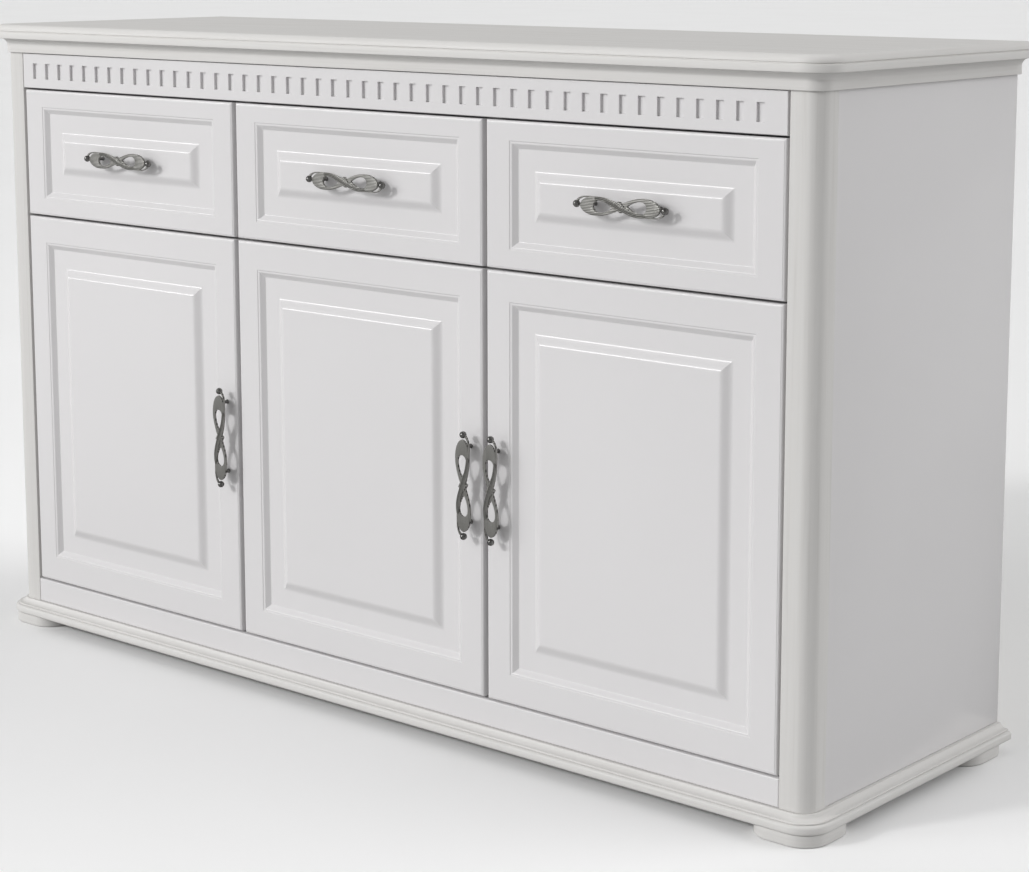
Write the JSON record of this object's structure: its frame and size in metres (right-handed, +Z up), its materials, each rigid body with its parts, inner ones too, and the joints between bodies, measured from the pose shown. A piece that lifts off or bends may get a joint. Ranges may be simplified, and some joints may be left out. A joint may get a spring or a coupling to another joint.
{
  "type": "sideboard buffet",
  "caption": "White country-style sideboard with drawers above hinged doors between rounded corner posts, moulded top and base, and ribbon-shaped metal handles.",
  "frame": {"origin": "middle of the footprint on the floor, under the centre of the overall box", "axes": "+X to the right seen from the front, +Y from the front to the back, +Z up"},
  "size_m": [1.45, 0.45, 0.89],
  "materials": {
    "smooth_white": "smooth satin white foil over fibreboard",
    "grained_white": "warm white foil with a fine lengthwise wood grain",
    "inner_white": "matt white melamine-faced chipboard",
    "hardboard": "white-faced thin hardboard, brown outside",
    "beech": "plain planed beech",
    "pewter": "antique pewter plating with fine brushed lines, darker in the hollows",
    "nickel": "bright nickel-plated steel"
  },
  "bodies": {
    "carcass": {"back_panel": "hardboard", "base_moulding": "grained_white", "bottom_panel": "inner_white", "corner_post_left": "grained_white", "corner_post_right": "grained_white", "cornice_moulding": "grained_white", "divider_left": "inner_white", "divider_right": "inner_white", "foot_back_left": "grained_white", "foot_back_right": "grained_white", "foot_front_left": "grained_white", "foot_front_right": "grained_white", "frieze": "smooth_white", "hinge_arm_left_lower": "nickel", "hinge_arm_left_upper": "nickel", "hinge_arm_middle_lower": "nickel", "hinge_arm_middle_upper": "nickel", "hinge_arm_right_lower": "nickel", "hinge_arm_right_upper": "nickel", "hinge_batten_left": "inner_white", "hinge_batten_right": "inner_white", "partition_full": "inner_white", "partition_short": "inner_white", "plinth_rail": "smooth_white", "runner_left_a": "beech", "runner_left_b": "beech", "runner_middle_a": "beech", "runner_middle_b": "beech", "runner_right_a": "beech", "runner_right_b": "beech", "shelf_left": "inner_white", "shelf_right": "inner_white", "side_panel_left": "smooth_white", "side_panel_right": "smooth_white", "top_board": "grained_white"},
    "door_left": {"door_handle_left": "pewter", "door_left": "smooth_white", "hinge_cup_left_lower": "nickel", "hinge_cup_left_upper": "nickel"},
    "drawer_left": {"drawer_bottom_left": "inner_white", "drawer_front_left": "smooth_white", "drawer_handle_left": "pewter", "drawer_wrap_left": "inner_white"},
    "door_middle": {"door_handle_middle": "pewter", "door_middle": "smooth_white", "hinge_cup_middle_lower": "nickel", "hinge_cup_middle_upper": "nickel"},
    "drawer_middle": {"drawer_bottom_middle": "inner_white", "drawer_front_middle": "smooth_white", "drawer_handle_middle": "pewter", "drawer_wrap_middle": "inner_white"},
    "door_right": {"door_handle_right": "pewter", "door_right": "smooth_white", "hinge_cup_right_lower": "nickel", "hinge_cup_right_upper": "nickel"},
    "drawer_right": {"drawer_bottom_right": "inner_white", "drawer_front_right": "smooth_white", "drawer_handle_right": "pewter", "drawer_wrap_right": "inner_white"}
  },
  "joints": [
    {"name": "door_left_hinge", "type": "hinge", "parent": "carcass", "child": "door_left", "pos_m": [-0.649, -0.195, 0.343], "axis": [0, 0, -1], "range_deg": [0, 95]},
    {"name": "door_middle_hinge", "type": "hinge", "parent": "carcass", "child": "door_middle", "pos_m": [-0.206, -0.195, 0.343], "axis": [0, 0, -1], "range_deg": [0, 95]},
    {"name": "door_right_hinge", "type": "hinge", "parent": "carcass", "child": "door_right", "pos_m": [0.649, -0.195, 0.343], "axis": [0, 0, 1], "range_deg": [0, 95]},
    {"name": "drawer_left_slide", "type": "slide", "parent": "carcass", "child": "drawer_left", "axis": [0, -1, 0], "range_m": [0, 0.25]},
    {"name": "drawer_middle_slide", "type": "slide", "parent": "carcass", "child": "drawer_middle", "axis": [0, -1, 0], "range_m": [0, 0.25]},
    {"name": "drawer_right_slide", "type": "slide", "parent": "carcass", "child": "drawer_right", "axis": [0, -1, 0], "range_m": [0, 0.25]}
  ]
}
